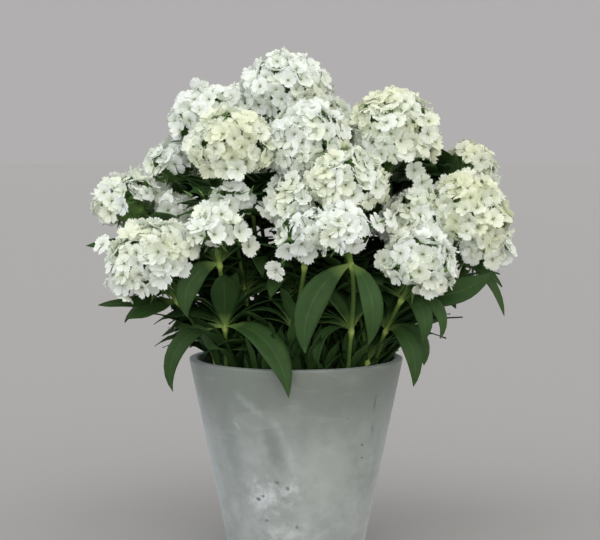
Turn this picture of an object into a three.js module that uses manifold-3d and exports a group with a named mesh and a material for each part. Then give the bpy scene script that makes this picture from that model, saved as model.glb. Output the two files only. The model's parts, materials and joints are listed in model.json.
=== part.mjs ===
// A sweet william (Dianthus barbatus) in full white bloom, growing in a plain tapered pot with a
// stone-grey finish. The pot holds compost, every leafy stem stands in its own hole in the compost,
// and each stem carries one domed flower head. Millimetres, +Z up, origin at the centre of the base.
import * as THREE from "three";
import { mergeVertices } from "three/addons/utils/BufferGeometryUtils.js";
import { ConvexHull } from "three/addons/math/ConvexHull.js";
import Module from "manifold-3d";

const wasm = await Module();
wasm.setup();

// Driving dimensions
const POT = { height: 175, rim: 95, base: 59.5, wall: 8, floor: 12, edge: 1.5 };
const DRAIN = { count: 3, radius: 5, out: 30, sides: 8 };
const SOIL = { rimDrop: 25, mound: 4, flat: 0.87, gap: 0.3 };
const ROUND_SIDES = 48;

const HEAD = { rise: 0.88, drop: 0.62, seat: 5, spread: 106, gap: 0.3 };
const FLORET = { width: 35, rim: 1.08, notch: 0.92, centre: 0.93, valley: 0.74, cover: 0.76, petals: 5 };

const STEM = { sides: 4, radius: 2.3, node: 3.3, cup: 4.6, buried: 12, holeGap: 0.7 };
const INTERNODE = { first: 32, step: 62, last: 17 };
const BLADE = { keel: 1.5, fold: 14, baseWidth: 1.8, axil: 2 };
const CLEAR = { keel: 0.9, crest: 0.6, width: 1.2, length: 1.5 };

// Flower heads: centre, radius, lean from upright in degrees, the compass way it leans
// (0 is +X, -90 is towards the viewer) and where its stem leaves the compost.
const HEADS = [
  // the crown
  { at: [-9, 38, 409], radius: 40, lean: 25, toward: -90, root: [-3, 10] },
  { at: [-80, 22, 386], radius: 33, lean: 20, toward: 175, root: [-30, 14] },
  { at: [-54, -40, 359], radius: 39, lean: 20, toward: -90, root: [-26, -4] },
  { at: [86, -8, 373], radius: 41, lean: 24, toward: -75, root: [26, -2] },
  { at: [10, -38, 363], radius: 37, lean: 50, toward: -90, root: [8, -18] },
  // the front
  { at: [41, -55, 328], radius: 37, lean: 18, toward: -80, root: [64, -40] },
  { at: [-1, -56, 314], radius: 26, lean: 34, toward: -100, root: [-14, -34] },
  { at: [7, -92, 288], radius: 23, lean: 32, toward: -95, root: [-10, -60], low: 64 },
  { at: [38, -104, 291], radius: 23, lean: 28, toward: -130, root: [44, -56], low: 64 },
  { at: [-122, -60, 263], radius: 40, lean: 34, toward: -145, root: [-64, -22] },
  { at: [-68, -80, 291], radius: 23, lean: 20, toward: -110, root: [-60, -40], low: 64 },
  { at: [103, -82, 262], radius: 32, lean: 34, toward: -50, root: [66, -28], low: 66 },
  // the left and right sides
  { at: [-149, 0, 310], radius: 29, lean: 28, toward: 165, root: [-62, 2] },
  { at: [-109, 38, 342], radius: 25, lean: 10, toward: 155, root: [-52, 24] },
  { at: [-106, -2, 299], radius: 22, lean: 50, toward: -80, root: [-44, -2] },
  { at: [149, -18, 300], radius: 40, lean: 52, toward: -50, root: [64, -2] },
  { at: [158, 38, 342], radius: 23, lean: 50, toward: 15, root: [50, 36] },
  { at: [104, -24, 292], radius: 32, lean: 42, toward: -90, root: [44, 2] },
  { at: [164, 67, 269], radius: 36, lean: 20, toward: -5, root: [58, 28] },
  // the back
  { at: [-54, 104, 384], radius: 36, lean: 30, toward: 120, root: [-22, 36] },
  { at: [24, 102, 372], radius: 35, lean: 24, toward: 75, root: [8, 34] },
  { at: [94, 94, 343], radius: 33, lean: 26, toward: 50, root: [34, 46] },
  { at: [-138, 94, 310], radius: 33, lean: 36, toward: 145, root: [-50, 44] },
  { at: [-46, 148, 316], radius: 38, lean: 42, toward: 100, root: [-20, 60] },
  { at: [48, 152, 312], radius: 40, lean: 42, toward: 75, root: [14, 60] },
  { at: [126, 138, 274], radius: 34, lean: 48, toward: 48, root: [36, 60] },
  { at: [-110, 140, 262], radius: 33, lean: 46, toward: 128, root: [-34, 50] },
  // a small late one, low in the front
  { at: [-55, -50, 320], radius: 17, lean: 20, toward: -100, root: [-36, -36] },
];

// Shoots with no flower: where the tip is, the way it leans and where it leaves the compost.
const SHOOTS = [
  { at: [-38, -34, 322], lean: 15, toward: -90, root: [-18, -2] },
];

// Leaves with a place of their own: the stem, the height of the pair it grows with, its tip, the
// angle it leaves its stem at, its width, and how far its blade is rolled to one side.
const PLACED_LEAVES = [
  { stem: 11, from: 203, tip: [-6, -106, 154], rise: 15, width: 24, roll: 25 },
  { stem: 11, from: 203, tip: [-105, -66, 153], rise: 14, width: 15, roll: -70 },
  { stem: 11, from: 203, tip: [-60, -94, 256], rise: 66, width: 24, roll: 0 },
  { stem: 11, from: 203, tip: [-50, -60, 256], rise: 82, width: 17, roll: -40 },
  { stem: 11, from: 258, tip: [-91, -84, 219], rise: 0, width: 20, roll: -60 },
  { stem: 9, from: 263, tip: [8, -110, 191], rise: -20, width: 24, roll: -60 },
  { stem: 9, from: 263, tip: [60, -112, 199], rise: -20, width: 18, roll: 30 },
  { stem: 9, from: 207, tip: [20, -84, 176], rise: 30, width: 18, roll: 0 },
  { stem: 8, from: 204, tip: [-13, -82, 244], rise: 80, width: 12, roll: 0 },
  { stem: 28, from: 232, tip: [-15, -60, 245], rise: 10, width: 13, roll: 40 },
  { stem: 12, from: 205, tip: [109, -68, 176], rise: 20, width: 19, roll: 45 },
  { stem: 12, from: 205, tip: [99, -84, 160], rise: 20, width: 16, roll: 30 },
  { stem: 12, from: 239, tip: [106, -88, 198], rise: 20, width: 15, roll: 40 },
  { stem: 12, from: 239, tip: [122, -76, 200], rise: 25, width: 12, roll: 50 },
  { stem: 12, from: 239, tip: [169, -66, 256], rise: -6, width: 24, roll: 55 },
  { stem: 16, from: 272, tip: [182, -25, 214], rise: -12, width: 12, roll: 30 },
  { stem: 16, from: 272, tip: [179, -34, 240], rise: -8, width: 11, roll: 30 },
  { stem: 10, from: 232, tip: [-170, -52, 226], rise: -2, width: 13, roll: -40 },
  { stem: 10, from: 232, tip: [-144, -76, 216], rise: -16, width: 16, roll: -30 },
  { stem: 13, from: 231, tip: [-148, -42, 210], rise: 20, width: 14, roll: 0 },
  { stem: 17, from: 320, tip: [128, -2, 360], rise: 66, width: 18, roll: 0 },
  { stem: 17, from: 320, tip: [154, -2, 354], rise: 60, width: 15, roll: 0 },
  { stem: 17, from: 320, tip: [146, -10, 336], rise: 30, width: 13, roll: 0 },
  { stem: 17, from: 320, tip: [122, -8, 336], rise: 40, width: 14, roll: 0 },
  { stem: 13, from: 286, tip: [-167, -50, 276], rise: -14, width: 15, roll: -30 },
  { stem: 4, from: 278, tip: [84, -14, 330], rise: 70, width: 22, roll: -40 },
  { stem: 4, from: 336, tip: [58, -34, 350], rise: 60, width: 12, roll: 0 },
  { stem: 5, from: 336, tip: [-62, -64, 323], rise: -5, width: 17, roll: 40 },
  { stem: 3, from: 322, tip: [-94, -44, 322], rise: 10, width: 13, roll: -30 },
];

// Ways to bend a leaf that would cross a neighbour, least first: turn, lift and share of length.
const TURNS = [0, 22, -22, 44, -44, 68, -68, 90, -90];
const LIFTS = [0, 16, -18, 32, -34];
const SHARES = [1, 0.78];

const PALETTE = {
  pot: { color: 0x9a9e9c, roughness: 0.85 },
  compost: { color: 0x2b211a, roughness: 1 },
  petals: { color: 0xeef0e4, roughness: 0.6 },
  foliage: { color: 0x3c5a2c, roughness: 0.6 },
};

const radians = THREE.MathUtils.degToRad;

// Draws that are the same at every run, from a whole-number seed.
function draws(seed) {
  let state = seed >>> 0;
  return () => {
    state = (state + 0x6d2b79f5) >>> 0;
    let t = Math.imul(state ^ (state >>> 15), state | 1);
    t ^= t + Math.imul(t ^ (t >>> 7), t | 61);
    return ((t ^ (t >>> 14)) >>> 0) / 4294967296;
  };
}

// A closed BufferGeometry as a solid that can be joined and cut.
function solidFrom(geometry) {
  const bare = new THREE.BufferGeometry();
  bare.setAttribute("position", geometry.getAttribute("position"));
  if (geometry.index) bare.setIndex(geometry.index);
  const merged = mergeVertices(bare, 1e-4);
  return new wasm.Manifold(
    new wasm.Mesh({
      numProp: 3,
      vertProperties: new Float32Array(merged.attributes.position.array),
      triVerts: new Uint32Array(merged.index.array),
    }),
  );
}

// A joined or cut solid back as a BufferGeometry.
function geometryFrom(solid) {
  const mesh = solid.getMesh();
  const points = new Float32Array(mesh.numVert * 3);
  for (let i = 0; i < mesh.numVert; i++) {
    points.set(mesh.vertProperties.subarray(i * mesh.numProp, i * mesh.numProp + 3), i * 3);
  }
  return new THREE.BufferGeometry()
    .setAttribute("position", new THREE.BufferAttribute(points, 3))
    .setIndex(new THREE.BufferAttribute(new Uint32Array(mesh.triVerts), 1));
}

function namedMesh(name, geometry, finish) {
  geometry.computeVertexNormals();
  const mesh = new THREE.Mesh(geometry, new THREE.MeshStandardMaterial({ metalness: 0, ...finish }));
  mesh.name = name;
  return mesh;
}

// Geometry of rings of points, each ring joined to the next, closed at both ends. A ring of one
// point is a tip.
function loft(rings) {
  const points = [];
  const faces = [];
  const starts = rings.map((ring) => {
    points.push(...ring);
    return points.length - ring.length;
  });
  for (let r = 0; r + 1 < rings.length; r++) {
    const n = Math.max(rings[r].length, rings[r + 1].length);
    for (let i = 0; i < n; i++) {
      const j = (i + 1) % n;
      const [a, b] = [starts[r] + (i % rings[r].length), starts[r] + (j % rings[r].length)];
      const [c, d] = [starts[r + 1] + (i % rings[r + 1].length), starts[r + 1] + (j % rings[r + 1].length)];
      if (rings[r].length > 1) faces.push(a, b, d);
      if (rings[r + 1].length > 1) faces.push(a, d, c);
    }
  }
  const last = rings.length - 1;
  for (let i = 1; i + 1 < rings[0].length; i++) faces.push(starts[0], starts[0] + i + 1, starts[0] + i);
  for (let i = 1; i + 1 < rings[last].length; i++) {
    faces.push(starts[last], starts[last] + i, starts[last] + i + 1);
  }
  return new THREE.BufferGeometry().setFromPoints(points).setIndex(faces);
}

// The pot's outside radius at a height.
function potRadius(z) {
  return POT.base + ((POT.rim - POT.base) * z) / POT.height;
}

// The pot: a turned wall with a plain lip and a flat base, and drain holes through its floor.
function potGeometry() {
  const { height, wall, floor, edge } = POT;
  const profile = [
    [0, 0],
    [potRadius(0) - edge, 0],
    [potRadius(edge), edge],
    [potRadius(height - edge), height - edge],
    [potRadius(height) - edge, height],
    [potRadius(height) - wall + edge, height],
    [potRadius(height) - wall, height - edge],
    [potRadius(floor) - wall, floor],
    [0, floor],
  ].map(([r, z]) => new THREE.Vector2(r, z));
  let solid = solidFrom(new THREE.LatheGeometry(profile, ROUND_SIDES).rotateX(Math.PI / 2));
  for (let i = 0; i < DRAIN.count; i++) {
    const angle = ((i + 0.25) * 2 * Math.PI) / DRAIN.count;
    const hole = new THREE.CylinderGeometry(DRAIN.radius, DRAIN.radius, floor * 2, DRAIN.sides)
      .rotateX(Math.PI / 2)
      .translate(DRAIN.out * Math.cos(angle), DRAIN.out * Math.sin(angle), floor / 2);
    solid = solid.subtract(solidFrom(hole));
  }
  return geometryFrom(solid);
}

// The compost before the stems' holes: a plug of the pot's inside, level but settled at the edge.
function compostGeometry() {
  const top = POT.height - SOIL.rimDrop;
  const inside = (z) => potRadius(z) - POT.wall - SOIL.gap * 2;
  const bottom = POT.floor + SOIL.gap;
  const profile = [
    [0, bottom],
    [inside(bottom), bottom],
    [inside(top), top],
    [inside(top) * SOIL.flat, top + SOIL.mound],
    [0, top + SOIL.mound],
  ].map(([r, z]) => new THREE.Vector2(r, z));
  return new THREE.LatheGeometry(profile, ROUND_SIDES / 2).rotateX(Math.PI / 2);
}

// The way a head or shoot points.
function axisOf({ lean, toward }) {
  const [tilt, way] = [radians(lean), radians(toward)];
  return new THREE.Vector3(Math.sin(tilt) * Math.cos(way), Math.sin(tilt) * Math.sin(way), Math.cos(tilt));
}

// Heads that grow against each other meet at a flat side: a point of a head, given from its centre,
// is drawn back to the plane between the head and each neighbour.
function pressBack(point, head) {
  for (const other of HEADS) {
    if (other === head) continue;
    const way = new THREE.Vector3(...other.at).sub(new THREE.Vector3(...head.at));
    const far = way.length();
    const plane = (far * far + head.radius ** 2 - other.radius ** 2) / (2 * far) - HEAD.gap;
    const reach = point.dot(way) / far;
    if (reach > plane) point.multiplyScalar(plane / reach);
  }
}

// The triangles of the hull of some directions, as number triples.
function hullFaces(directions) {
  const place = new Map(directions.map((direction, i) => [direction, i]));
  return new ConvexHull().setFromPoints(directions).faces.map(({ edge }) => {
    return [edge, edge.next, edge.prev].map((side) => place.get(side.head().point));
  });
}

// One flower head: florets packed over a dome, each a shallow five-petalled cup, on a core that
// narrows to the seat on its stem. Every point is a direction from the centre, and the faces are
// those of the hull of the directions, so the surface is closed whatever the florets' places.
function headGeometry(head, seed) {
  const draw = draws(seed);
  const limit = 1 - Math.cos(radians(HEAD.spread));
  const area = 2 * Math.PI * limit * head.radius ** 2;
  const florets = Math.max(5, Math.round(area / (FLORET.width / 2) ** 2 / Math.PI));
  const reach = Math.sqrt((2 * limit * FLORET.cover) / florets);
  const points = [];
  const share = [];
  const add = (direction, length) => {
    points.push(direction.clone().normalize());
    share.push(length);
  };
  const middles = [];
  for (let i = 0; i < florets; i++) {
    const cosine = 1 - (limit * (i + 0.5)) / florets;
    const turn = i * Math.PI * (3 - Math.sqrt(5)) + draw() * 0.4;
    const sine = Math.sqrt(1 - cosine * cosine);
    middles.push(new THREE.Vector3(sine * Math.cos(turn), sine * Math.sin(turn), cosine));
  }
  for (const middle of middles) {
    const across = new THREE.Vector3(-middle.y, middle.x, 0).normalize();
    const along = new THREE.Vector3().crossVectors(middle, across);
    const lift = 0.09 * (draw() - 0.5);
    const spin = draw() * Math.PI;
    const out = (angle, far, length) => {
      const direction = middle.clone().addScaledVector(across, Math.cos(angle) * Math.tan(far));
      add(direction.addScaledVector(along, Math.sin(angle) * Math.tan(far)), length + lift);
    };
    add(middle, FLORET.centre + lift);
    for (let p = 0; p < FLORET.petals; p++) {
      const angle = spin + (p * 2 * Math.PI) / FLORET.petals;
      out(angle, reach, FLORET.rim);
      out(angle + Math.PI / FLORET.petals, reach * 0.8, FLORET.notch);
    }
  }
  for (const [a, b, c] of hullFaces(middles)) {
    const between = middles[a].clone().add(middles[b]).add(middles[c]).normalize();
    const near = between.angleTo(middles[a]);
    if (near > reach * 1.1 && near < reach * 2) add(between, FLORET.valley);
  }
  const under = 5;
  for (let i = 0; i < under; i++) {
    const angle = (i * 2 * Math.PI) / under;
    add(new THREE.Vector3(Math.cos(angle) * 0.62, Math.sin(angle) * 0.62, -0.78), 0.8);
    add(new THREE.Vector3(Math.cos(angle) * 0.1, Math.sin(angle) * 0.1, -1), 1);
  }
  const faces = hullFaces(points).flat();
  const seat = HEAD.drop * head.radius;
  const shaped = points.map((direction, i) => {
    const d = direction;
    if (d.z < -0.9) return new THREE.Vector3(d.x, d.y, 0).setLength(HEAD.seat).setZ(-seat);
    const drop = d.z > 0 ? HEAD.rise : HEAD.drop;
    return new THREE.Vector3(d.x, d.y, d.z * drop).multiplyScalar(head.radius * share[i]);
  });
  const upright = new THREE.Quaternion().setFromUnitVectors(new THREE.Vector3(0, 0, 1), axisOf(head));
  shaped.forEach((point) => pressBack(point.applyQuaternion(upright), head));
  return new THREE.BufferGeometry().setFromPoints(shaped).setIndex(faces).translate(...head.at);
}

// A stem's line, from below the compost up to the seat of its head, with its length measured.
function stemLine(plant) {
  const axis = axisOf(plant);
  const seat = plant.radius ? HEAD.drop * plant.radius + HEAD.gap : 0;
  const end = new THREE.Vector3(...plant.at).addScaledVector(axis, -seat);
  const [x, y] = plant.root;
  const start = new THREE.Vector3(x, y, POT.height - SOIL.rimDrop + SOIL.mound - STEM.buried);
  const far = end.clone().sub(start);
  const rising = start.clone().add(new THREE.Vector3(far.x * 0.03, far.y * 0.03, far.z * 0.45));
  const arriving = end.clone().addScaledVector(axis, -0.3 * far.length());
  const curve = new THREE.CubicBezierCurve3(start, rising, arriving, end);
  const steps = 60;
  const lengths = [0];
  let before = start;
  for (let i = 1; i <= steps; i++) {
    const point = curve.getPoint(i / steps);
    lengths.push(lengths[i - 1] + point.distanceTo(before));
    before = point;
  }
  const at = (length) => {
    const along = Math.min(length, lengths[steps]);
    const k = Math.max(1, lengths.findIndex((mark) => mark >= along));
    return (k - 1 + (along - lengths[k - 1]) / (lengths[k] - lengths[k - 1])) / steps;
  };
  return { curve, length: lengths[steps], at };
}

// How far along its stem each pair of leaves grows.
function nodePlaces(line, first = INTERNODE.first) {
  const range = line.length - INTERNODE.last - first;
  const steps = Math.max(1, Math.round(range / INTERNODE.step));
  return Array.from({ length: steps + 1 }, (_, i) => first + (range * i) / steps);
}

// A ring of points round a stem's line.
function stemRing(line, length, radius) {
  const t = line.at(length);
  const [middle, along] = [line.curve.getPoint(t), line.curve.getTangent(t)];
  const across = new THREE.Vector3().crossVectors(new THREE.Vector3(0, 1, 0), along).normalize();
  const up = new THREE.Vector3().crossVectors(along, across);
  return Array.from({ length: STEM.sides }, (_, i) => {
    const angle = (i * 2 * Math.PI) / STEM.sides;
    const point = middle.clone().addScaledVector(across, radius * Math.cos(angle));
    return point.addScaledVector(up, radius * Math.sin(angle));
  });
}

// A bare stem: thicker at each pair of leaves and widening to a cup under its head.
function stemSolid(line, places, tip) {
  const rings = [stemRing(line, 0, STEM.radius)];
  places.forEach((place, i) => {
    rings.push(stemRing(line, place, STEM.node));
    const next = places[i + 1] ?? line.length;
    if (next - place > 24) rings.push(stemRing(line, (place + next) / 2, STEM.radius));
  });
  rings.push(stemRing(line, line.length, tip));
  return solidFrom(loft(rings));
}

// The hole that a stem stands in, cut along its lowest length.
function holeSolid({ line, places }) {
  const rings = [
    stemRing(line, 0, STEM.radius + STEM.holeGap),
    stemRing(line, places[0], STEM.node + STEM.holeGap),
  ];
  const down = new THREE.Vector3(0, 0, -SOIL.gap);
  rings[0].forEach((point) => point.add(down));
  return solidFrom(loft(rings));
}

// Half a blade's width at a share of its length: narrow at the base, widest near the middle.
function halfWidth(leaf, share) {
  const full = (leaf.width / 2) * Math.sin(Math.PI * share ** 1.05) ** 0.95;
  return Math.max(full, (BLADE.baseWidth / 2) * (1 - share));
}

// One leaf: a blade folded along its midrib that rises from its stem and arches over.
function leafSolid(base, leaf, extra = { keel: 0, crest: 0, width: 0, length: 0 }) {
  const [way, rise] = [radians(leaf.way), radians(leaf.rise)];
  const turn = radians(leaf.fall - leaf.rise) || 1e-4;
  const length = leaf.length + extra.length;
  const roll = radians(leaf.roll);
  const shares = leaf.first ? [0, 0.22, 0.48, 0.76, 1] : [0, 0.32, 0.7, 1];
  const ahead = new THREE.Vector3(Math.cos(way), Math.sin(way), 0);
  const side = new THREE.Vector3(-Math.sin(way), Math.cos(way), 0);
  const rings = shares.map((share) => {
    const slope = rise + turn * share;
    const out = (length / turn) * (Math.sin(slope) - Math.sin(rise));
    const up = (-length / turn) * (Math.cos(slope) - Math.cos(rise));
    const middle = base.clone().addScaledVector(ahead, out);
    middle.z += up;
    if (share === 1) return [middle];
    const normal = ahead.clone().multiplyScalar(-Math.sin(slope)).setZ(Math.cos(slope));
    const across = side.clone().multiplyScalar(Math.cos(roll)).addScaledVector(normal, Math.sin(roll));
    normal.multiplyScalar(Math.cos(roll)).addScaledVector(side, -Math.sin(roll));
    const half = halfWidth(leaf, share) + (share ? extra.width : 0);
    const edge = half * Math.tan(radians(share ? BLADE.fold : 0));
    return [
      middle.clone().addScaledVector(across, -half).addScaledVector(normal, edge),
      middle.clone().addScaledVector(normal, -BLADE.keel - extra.keel),
      middle.clone().addScaledVector(across, half).addScaledVector(normal, edge),
      middle.clone().addScaledVector(normal, extra.crest),
    ];
  });
  return solidFrom(loft(rings));
}

// The leaves that grow in pairs on a stem, each pair across the one below it: long and arching on
// the lower stem, shorter and narrower towards the head. The lowest are strap leaves in the pot.
function pairedLeaves(places, draw) {
  const leaves = [];
  const start = draw() * 180;
  places.forEach((_, node) => {
    const top = node === places.length - 1;
    for (const half of [0, 180]) {
      const spread = draw() - 0.5;
      const sag = draw() - 0.5;
      const size = draw() - 0.5;
      const shape = top
        ? { rise: 38, fall: -8 - 30 * sag, length: 46 + 14 * size, width: 10 }
        : { rise: 50 - 20 * sag, fall: -38 + 40 * sag, length: 76 + 20 * size, width: 20 + 5 * size };
      if (node === 0) Object.assign(shape, { rise: 68, fall: 5 + 40 * sag, width: 15 });
      leaves.push({ node, way: start + 90 * node + half + 40 * spread, roll: 16 * spread, ...shape });
    }
  });
  return leaves;
}

// A placed leaf as an arch that leaves its stem at the angle it should and ends at its tip.
function archTo(bases, { from, tip, rise, width, roll }) {
  const off = bases.map((base) => Math.abs(base.z - from));
  const node = off.indexOf(Math.min(...off));
  const base = bases[node];
  const far = new THREE.Vector3(...tip).sub(base);
  const flat = Math.hypot(far.x, far.y);
  const chord = Math.atan2(far.z, flat);
  const half = chord - radians(rise);
  const way = THREE.MathUtils.radToDeg(Math.atan2(far.y, far.x));
  const fall = THREE.MathUtils.radToDeg(chord + half);
  const length = (far.length() * half) / Math.sin(half);
  return { node, way, rise, fall, length, width, roll, first: true };
}

// Leaves round the tip of a shoot with no flower.
function shootLeaves(places, draw) {
  const leaves = [];
  places.forEach((_, node) => {
    const tip = node >= places.length - 2;
    for (const half of [0, 180]) {
      const way = 35 + 90 * node + half + 30 * (draw() - 0.5);
      const shape = tip
        ? { rise: 55, fall: -12, length: 40, width: 12 }
        : { rise: 55, fall: -30, length: 68, width: 17 };
      leaves.push({ node, way, roll: 0, ...shape });
    }
  });
  return leaves;
}

// The largest closed body of a solid: loose scraps go, and hollows that fusing sealed are filled.
function mainBody(solid) {
  const bodies = solid.decompose();
  return bodies.reduce((best, body) => (body.volume() > best.volume() ? body : best));
}

function boxesMeet(a, b) {
  return [0, 1, 2].every((i) => a.min[i] < b.max[i] && b.min[i] < a.max[i]);
}

// Whether a solid meets any obstacle that isn't its own plant's.
function meets(solid, owner, obstacles) {
  const box = solid.boundingBox();
  return obstacles.some((other) => {
    return other.owner !== owner && boxesMeet(box, other.box) && !solid.intersect(other.solid).isEmpty();
  });
}

// The first bend of a leaf, least first, that crosses nothing, or none.
function bentClear(leaf, base, owner, obstacles) {
  for (const share of SHARES) {
    for (const lift of LIFTS) {
      for (const turn of TURNS) {
        const bent = { ...leaf, way: leaf.way + turn, length: leaf.length * share };
        Object.assign(bent, { rise: leaf.rise + lift, fall: leaf.fall + lift });
        if (!meets(leafSolid(base, bent, CLEAR), owner, obstacles)) return bent;
      }
    }
  }
  return null;
}

function obstacle(owner, solid) {
  return { owner, solid, box: solid.boundingBox() };
}

const pot = potGeometry();
const heads = HEADS.map((head, i) => headGeometry(head, 11 + i));
const stems = [...HEADS, ...SHOOTS].map((plant, i) => {
  const line = stemLine(plant);
  const places = nodePlaces(line, plant.low);
  const bases = places.map((place) => line.curve.getPoint(line.at(place + BLADE.axil)));
  const draw = draws(101 + i);
  const grown = plant.radius ? pairedLeaves(places, draw) : shootLeaves(places, draw);
  const placed = PLACED_LEAVES.filter((leaf) => leaf.stem === i + 1).map((leaf) => archTo(bases, leaf));
  const leaves = [...placed, ...grown.filter((leaf) => !placed.some((other) => other.node === leaf.node))];
  const top = plant.radius ? STEM.cup : STEM.radius;
  return { line, places, bases, leaves, solid: stemSolid(line, places, top) };
});
const compost = stems.reduce((solid, stem) => solid.subtract(holeSolid(stem)), solidFrom(compostGeometry()));

// Each leaf finds room among all that is there before it: those seen from the front first, then the
// rest from the lowest pair up.
const obstacles = [solidFrom(pot), compost, ...heads.map(solidFrom)].map((solid) => obstacle(-1, solid));
stems.forEach(({ solid }, owner) => obstacles.push(obstacle(owner, solid)));
const queue = stems.flatMap((stem, owner) => stem.leaves.map((leaf) => ({ stem, leaf, owner })));
queue.sort((a, b) => (b.leaf.first ?? 0) - (a.leaf.first ?? 0) || a.leaf.node - b.leaf.node);
for (const { stem, leaf, owner } of queue) {
  const base = stem.bases[leaf.node];
  const bent = bentClear(leaf, base, owner, obstacles);
  if (!bent) continue;
  const blade = leafSolid(base, bent);
  obstacles.push(obstacle(owner, blade));
  stem.solid = stem.solid.add(blade);
}

const twoDigits = (i) => String(i + 1).padStart(2, "0");
const plant = new THREE.Group();
plant.add(namedMesh("pot", pot, PALETTE.pot));
plant.add(namedMesh("compost", geometryFrom(compost), PALETTE.compost));
heads.forEach((head, i) => plant.add(namedMesh(`flower_head_${twoDigits(i)}`, head, PALETTE.petals)));
stems.forEach(({ solid }, i) => {
  const name = i < HEADS.length ? `leafy_stem_${twoDigits(i)}` : `leafy_shoot_${twoDigits(i - HEADS.length)}`;
  plant.add(namedMesh(name, geometryFrom(mainBody(solid)), PALETTE.foliage));
});

export default plant;
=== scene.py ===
import json
import bpy
import bmesh
from functools import partial
from math import atan2, cos, degrees, hypot, modf, pi, radians, sin, tan, tau
from mathutils import Matrix, Vector
from mathutils.kdtree import KDTree

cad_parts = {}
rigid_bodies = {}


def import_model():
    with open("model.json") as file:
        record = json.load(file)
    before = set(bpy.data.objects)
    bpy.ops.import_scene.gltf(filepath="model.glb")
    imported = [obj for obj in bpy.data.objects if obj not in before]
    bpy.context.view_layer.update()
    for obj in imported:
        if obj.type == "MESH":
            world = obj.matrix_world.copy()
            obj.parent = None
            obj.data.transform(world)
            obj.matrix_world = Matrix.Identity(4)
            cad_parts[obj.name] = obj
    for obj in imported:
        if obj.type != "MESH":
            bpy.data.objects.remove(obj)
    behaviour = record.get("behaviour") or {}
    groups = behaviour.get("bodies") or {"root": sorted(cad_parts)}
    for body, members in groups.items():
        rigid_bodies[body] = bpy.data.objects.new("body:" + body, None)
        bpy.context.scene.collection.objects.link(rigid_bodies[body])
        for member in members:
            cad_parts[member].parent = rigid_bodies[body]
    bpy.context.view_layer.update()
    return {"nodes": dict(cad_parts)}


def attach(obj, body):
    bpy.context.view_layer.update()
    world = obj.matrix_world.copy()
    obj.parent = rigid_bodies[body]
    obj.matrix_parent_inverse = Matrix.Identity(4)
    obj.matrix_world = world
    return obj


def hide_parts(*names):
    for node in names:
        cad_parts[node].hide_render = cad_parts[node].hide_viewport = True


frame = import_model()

scene = bpy.context.scene
nodes = frame["nodes"]


# The studio: a pale matt floor that the pot stands on, soft daylight from high on the left, a cooler
# light from low on the left, and a wide pale light on the right that opens the shadows.
def linear(hexcode):
    """An sRGB hex colour as linear RGBA."""
    parts = [int(hexcode[i:i + 2], 16) / 255 for i in (1, 3, 5)]
    return tuple(c / 12.92 if c <= 0.04045 else ((c + 0.055) / 1.055) ** 2.4 for c in parts) + (1.0,)


def add(tree, kind, inputs=None, **settings):
    """Adds a node: settings are its properties, inputs are values, or nodes or sockets to link."""
    made = tree.nodes.new(kind)
    for name, value in settings.items():
        if name == "stops":
            elements = made.color_ramp.elements
            while len(elements) < len(value):
                elements.new(0.5)
            for element, (place, colour) in zip(elements, value):
                element.position = place
                element.color = linear(colour) if isinstance(colour, str) else (colour, colour, colour, 1)
        else:
            setattr(made, name, value)
    for key, value in (inputs or {}).items():
        if isinstance(value, bpy.types.Node):
            value = next(socket for socket in value.outputs if socket.enabled)
        if isinstance(value, bpy.types.NodeSocket):
            tree.links.new(value, made.inputs[key])
        else:
            made.inputs[key].default_value = value
    return made


def material(name):
    """An empty material, and the function that adds nodes to it."""
    made = bpy.data.materials.new(name)
    made.use_nodes = True
    made.node_tree.nodes.clear()
    return made, partial(add, made.node_tree)


def form(name, points, faces, finish=None, smooth=True):
    """A mesh from points in millimetres."""
    mesh = bpy.data.meshes.new(name)
    mesh.from_pydata([tuple(0.001 * c for c in p) for p in points], [], faces)
    mesh.update()
    mesh.polygons.foreach_set("use_smooth", [smooth] * len(mesh.polygons))
    if finish:
        mesh.materials.append(finish)
    return mesh


def circle(radius, height, sides):
    """Points round the upright axis."""
    turns = [tau * i / sides for i in range(sides)]
    return [(radius * cos(angle), radius * sin(angle), height) for angle in turns]


def shown(data, name=None):
    """Puts a mesh, a lamp or the camera in the scene, under its own name or the one given."""
    made = bpy.data.objects.new(name or data.name, data)
    scene.collection.objects.link(made)
    return made


# a matt painted floor takes a soft shadow and has hardly any mottle
FLOOR_RADIUS = 20000
FLOOR_SIDES = 64
matt_floor, node = material("matt_pale_floor")
mottle = node("ShaderNodeTexNoise", {"Scale": 3.0, "Detail": 3.0})
tone = node("ShaderNodeValToRGB", {"Fac": mottle}, stops=[(0.3, "#adacab"), (0.7, "#b0afae")])
shader = node("ShaderNodeBsdfPrincipled", {"Base Color": tone, "Roughness": 0.85})
node("ShaderNodeOutputMaterial", {"Surface": shader})
edge = circle(FLOOR_RADIUS, 0, FLOOR_SIDES)
floor = shown(form("floor", edge, [tuple(range(FLOOR_SIDES))], matt_floor))

world = bpy.data.worlds.new("pale_surround")
world.use_nodes = True
world.node_tree.nodes.clear()
sky = add(world.node_tree, "ShaderNodeBackground", {"Color": linear("#b1afaf"), "Strength": 1.0})
add(world.node_tree, "ShaderNodeOutputWorld", {"Surface": sky})
scene.world = world
scene.view_settings.view_transform = "Standard"

# each lamp's way, how wide it is seen in degrees, strength and colour
for name, towards, width, power, colour in [
    ("high_daylight", (0.28, 0.72, -0.72), 90, 1.2, "#fffffa"),
    ("left_daylight", (0.90, 0.38, -0.20), 70, 0.89, "#e4ecff"),
    ("right_bounce", (-0.74, 0.66, -0.10), 140, 1.77, "#fffdf8"),
]:
    lamp = bpy.data.lights.new(name, "SUN")
    lamp.angle = radians(width)
    lamp.energy = power
    lamp.color = linear(colour)[:3]
    shown(lamp).rotation_euler = Vector(towards).to_track_quat("-Z", "Y").to_euler()

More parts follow.
